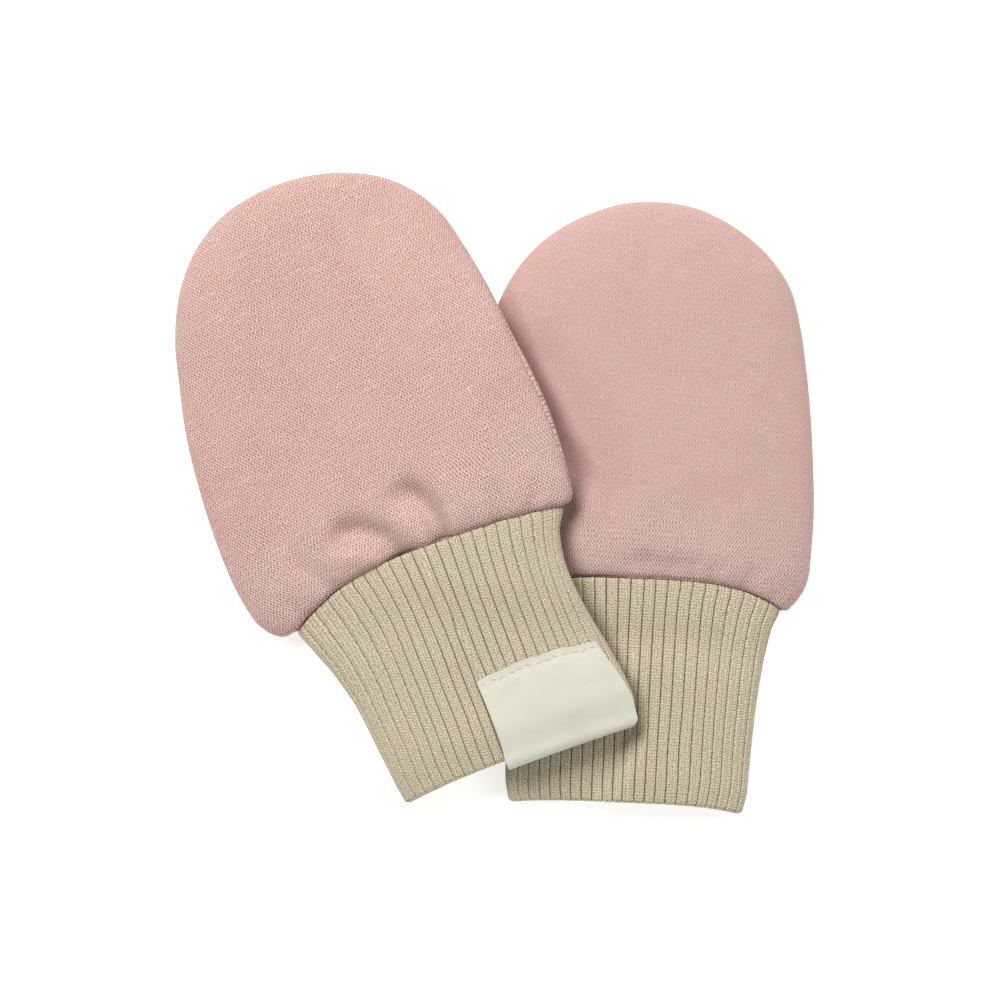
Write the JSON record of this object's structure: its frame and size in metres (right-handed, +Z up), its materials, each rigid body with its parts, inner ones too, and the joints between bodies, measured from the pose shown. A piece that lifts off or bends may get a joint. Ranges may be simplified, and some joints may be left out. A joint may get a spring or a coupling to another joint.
{
  "type": "pair of baby scratch mittens",
  "caption": "Thumbless rounded baby scratch mittens with ribbed cuffs, a pair laid flat, one partly over the other, with a bare label folded over a hem.",
  "frame": {"origin": "centre of the footprint of the pair, on the surface that it lies on", "axes": "+X to the right of the pair as seen from above with the fingertips away, +Y towards the fingertips, +Z up from the surface"},
  "size_m": [0.1439, 0.1444, 0.023],
  "materials": {
    "pink_jersey_left_top": "matt pink cotton jersey with a faint heather",
    "pink_jersey_left_under": "matt pink cotton jersey with a faint heather",
    "beige_rib_left": "matt beige cotton rib knit",
    "cream_satin_label": "soft cream satin tape, bare",
    "pink_jersey_right_top": "matt pink cotton jersey with a faint heather",
    "pink_jersey_right_under": "matt pink cotton jersey with a faint heather",
    "beige_rib_right": "matt beige cotton rib knit"
  },
  "bodies": {
    "root": {"left_top_panel": "pink_jersey_left_top", "left_under_panel": "pink_jersey_left_under", "left_cuff": "beige_rib_left", "left_label": "cream_satin_label", "right_top_panel": "pink_jersey_right_top", "right_under_panel": "pink_jersey_right_under", "right_cuff": "beige_rib_right"}
  },
  "joints": []
}
